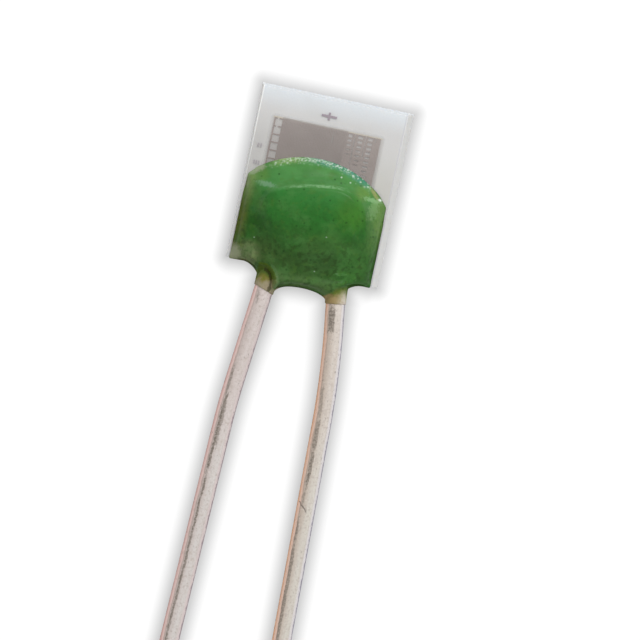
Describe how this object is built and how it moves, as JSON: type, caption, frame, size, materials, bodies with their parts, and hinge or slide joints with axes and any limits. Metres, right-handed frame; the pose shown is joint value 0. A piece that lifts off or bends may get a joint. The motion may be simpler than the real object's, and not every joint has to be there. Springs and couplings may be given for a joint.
{
  "type": "resistance temperature detector",
  "caption": "Flat thin-film resistance temperature detector: ceramic chip with a platinum meander, a green glass glaze drop over the lead end and bare lead wires.",
  "frame": {"origin": "centre of the chip's back face, which is the face that is glued or clamped to what is measured", "axes": "+Z out of the film side, +Y along the chip away from the leads, +X across the chip"},
  "size_m": [0.002, 0.0123, 0.0009],
  "materials": {
    "alumina": "satin",
    "platinum_film": "satin",
    "printed_metal": "satin",
    "clear_glass": "gloss",
    "pad_metal": "matte",
    "lead_metal": "satin",
    "green_glaze": "gloss"
  },
  "bodies": {
    "root": {"substrate": "alumina", "platinum_track": "platinum_film", "alignment_cross": "printed_metal", "position_ticks": "printed_metal", "passivation_glass": "clear_glass", "contact_pad_left": "pad_metal", "contact_pad_right": "pad_metal", "lead_wire_left": "lead_metal", "lead_wire_right": "lead_metal", "fixing_glaze": "green_glaze"}
  },
  "joints": []
}
